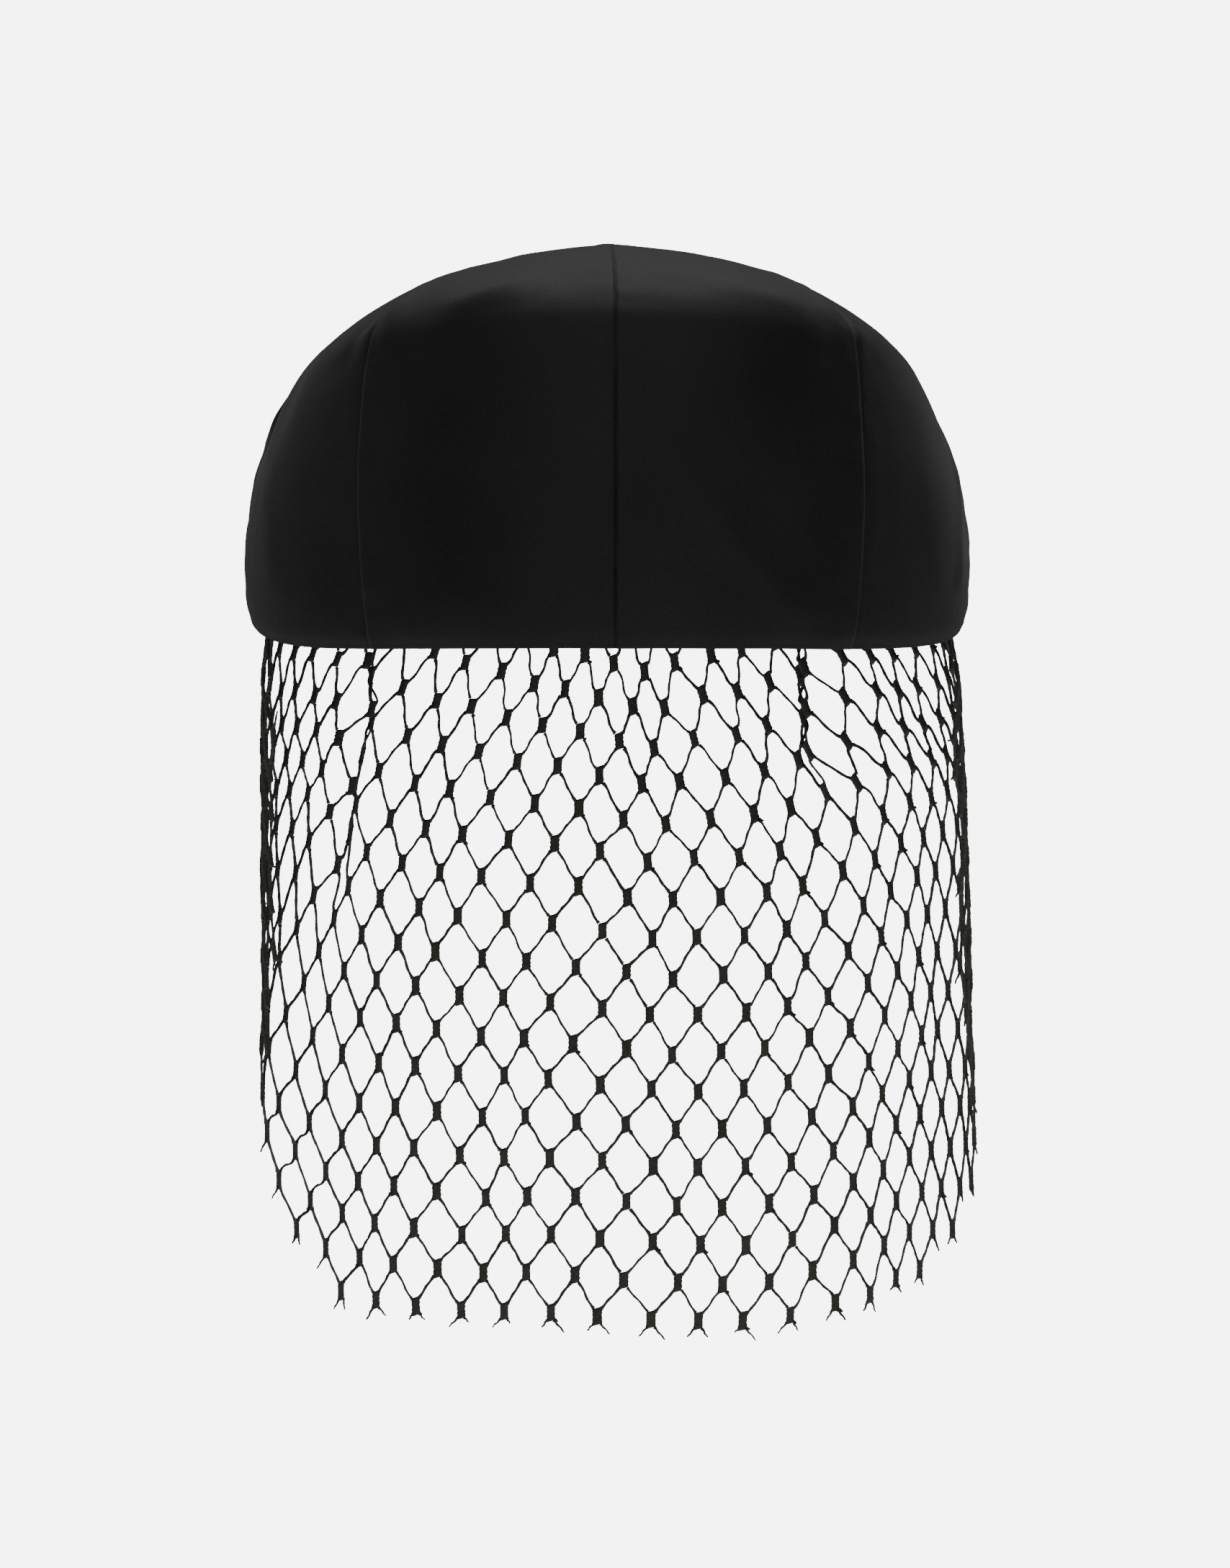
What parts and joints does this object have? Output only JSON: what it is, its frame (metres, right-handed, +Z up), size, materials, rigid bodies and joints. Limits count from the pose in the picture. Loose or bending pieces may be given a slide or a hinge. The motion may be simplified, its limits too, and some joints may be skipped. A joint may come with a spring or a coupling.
{
  "type": "flat cap with veil",
  "caption": "Soft flat cap sewn from tapered gores, with a short stiff peak, a small covered button and a coarse net veil hung round the front to below the chin.",
  "frame": {"origin": "the centre of the head opening, at the height of the hem at the nape", "axes": "+Z up, +Y to the peak, +X to the wearer's right"},
  "size_m": [0.1824, 0.2505, 0.2791],
  "materials": {
    "black_satin": "black cotton-backed satin, soft sheen",
    "black_net": "matt black knotted hat net"
  },
  "bodies": {
    "root": {"gore_back_right": "black_satin", "gore_side_back_right": "black_satin", "gore_side_front_right": "black_satin", "gore_front_right": "black_satin", "gore_front_left": "black_satin", "gore_side_front_left": "black_satin", "gore_side_back_left": "black_satin", "gore_back_left": "black_satin", "button": "black_satin", "peak": "black_satin", "veil": "black_net"}
  },
  "joints": []
}
